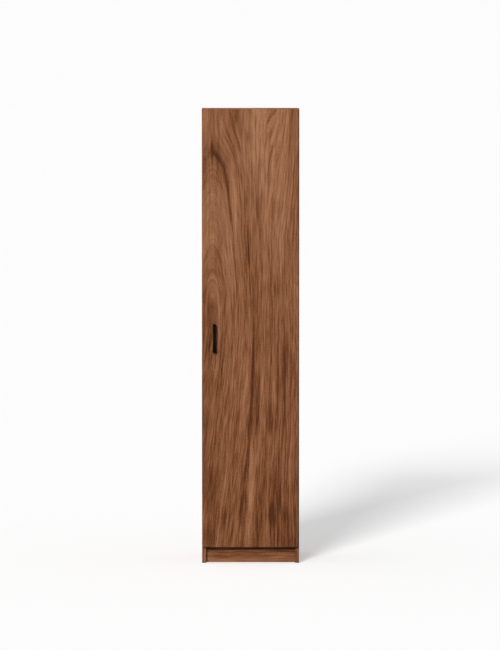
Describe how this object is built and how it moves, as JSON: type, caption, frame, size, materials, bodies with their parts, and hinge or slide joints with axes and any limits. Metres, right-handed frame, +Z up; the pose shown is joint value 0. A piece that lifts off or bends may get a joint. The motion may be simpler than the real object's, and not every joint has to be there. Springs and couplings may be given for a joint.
{
  "type": "broom cupboard",
  "caption": "Tall narrow cupboard with one full-height door on concealed hinges, shelves above a broom compartment and a recessed plinth.",
  "frame": {"origin": "on the floor, in the middle of the outline of the cupboard with its handle", "axes": "+X to the right as seen from the front, +Y to the back, +Z up"},
  "size_m": [0.3956, 0.426, 1.85],
  "materials": {
    "walnut_decor": "satin walnut-effect foil with vertical grain",
    "hardboard": "thin hardboard, smooth brown face",
    "black_metal": "satin black",
    "nickel_steel": "nickel-plated pressed steel",
    "screw_steel": "zinc-plated",
    "die_cast_zinc": "die-cast zinc alloy",
    "beech": "fluted beech",
    "brown_plastic": "matt moulded",
    "black_plastic": "matt moulded",
    "soft_clear": "soft, slightly milky"
  },
  "bodies": {
    "carcass": {"side_panel_left": "walnut_decor", "side_panel_right": "walnut_decor", "top_panel": "walnut_decor", "bottom_panel": "walnut_decor", "fixed_shelf": "walnut_decor", "adjustable_shelf": "walnut_decor", "plinth": "walnut_decor", "back_panel_upper": "hardboard", "back_panel_lower": "hardboard", "hinge_arm_1": "nickel_steel", "hinge_plate_1": "nickel_steel", "hinge_arm_2": "nickel_steel", "hinge_plate_2": "nickel_steel", "hinge_arm_3": "nickel_steel", "hinge_plate_3": "nickel_steel", "hinge_arm_4": "nickel_steel", "hinge_plate_4": "nickel_steel", "hinge_arm_pins": "screw_steel", "hinge_plate_screws": "screw_steel", "hinge_fixing_screws": "screw_steel", "hinge_adjusting_screws": "screw_steel", "cam_bolts": "screw_steel", "back_nails": "screw_steel", "plinth_block_screws": "screw_steel", "wall_bracket_screws": "screw_steel", "shelf_pins": "screw_steel", "cam_locks": "die_cast_zinc", "wall_bracket": "nickel_steel", "wood_dowels": "beech", "cam_cover_caps": "brown_plastic", "plinth_blocks": "brown_plastic", "foot_glides": "black_plastic"},
    "outer_links": {"hinge_outer_link_1": "nickel_steel", "hinge_outer_link_2": "nickel_steel", "hinge_outer_link_3": "nickel_steel", "hinge_outer_link_4": "nickel_steel"},
    "inner_links": {"hinge_inner_link_1": "nickel_steel", "hinge_inner_link_2": "nickel_steel", "hinge_inner_link_3": "nickel_steel", "hinge_inner_link_4": "nickel_steel", "hinge_link_pins": "screw_steel"},
    "door": {"door_panel": "walnut_decor", "handle": "black_metal", "handle_screws": "screw_steel", "door_bumpers": "soft_clear", "hinge_cup_1": "nickel_steel", "hinge_cup_2": "nickel_steel", "hinge_cup_3": "nickel_steel", "hinge_cup_4": "nickel_steel", "hinge_cup_pins": "screw_steel", "hinge_cup_screws": "screw_steel"}
  },
  "joints": [
    {"name": "outer_link_swing", "type": "hinge", "parent": "carcass", "child": "outer_links", "pos_m": [0.1504, -0.1587, 0.925], "axis": [0, 0, 1], "range_deg": [-28.61, 0]},
    {"name": "door_swing", "type": "hinge", "parent": "outer_links", "child": "door", "pos_m": [0.1821, -0.1709, 0.925], "axis": [0, 0, 1], "range_deg": [0, 123.59]},
    {"name": "inner_link_swing", "type": "hinge", "parent": "carcass", "child": "inner_links", "pos_m": [0.16, -0.1785, 0.925], "axis": [0, 0, 1], "range_deg": [-53.22, 0]}
  ],
  "couplings": [
    {"joint": "outer_link_swing", "follows": "door_swing", "ratio": -0.23136},
    {"joint": "inner_link_swing", "follows": "door_swing", "ratio": -0.43044}
  ]
}
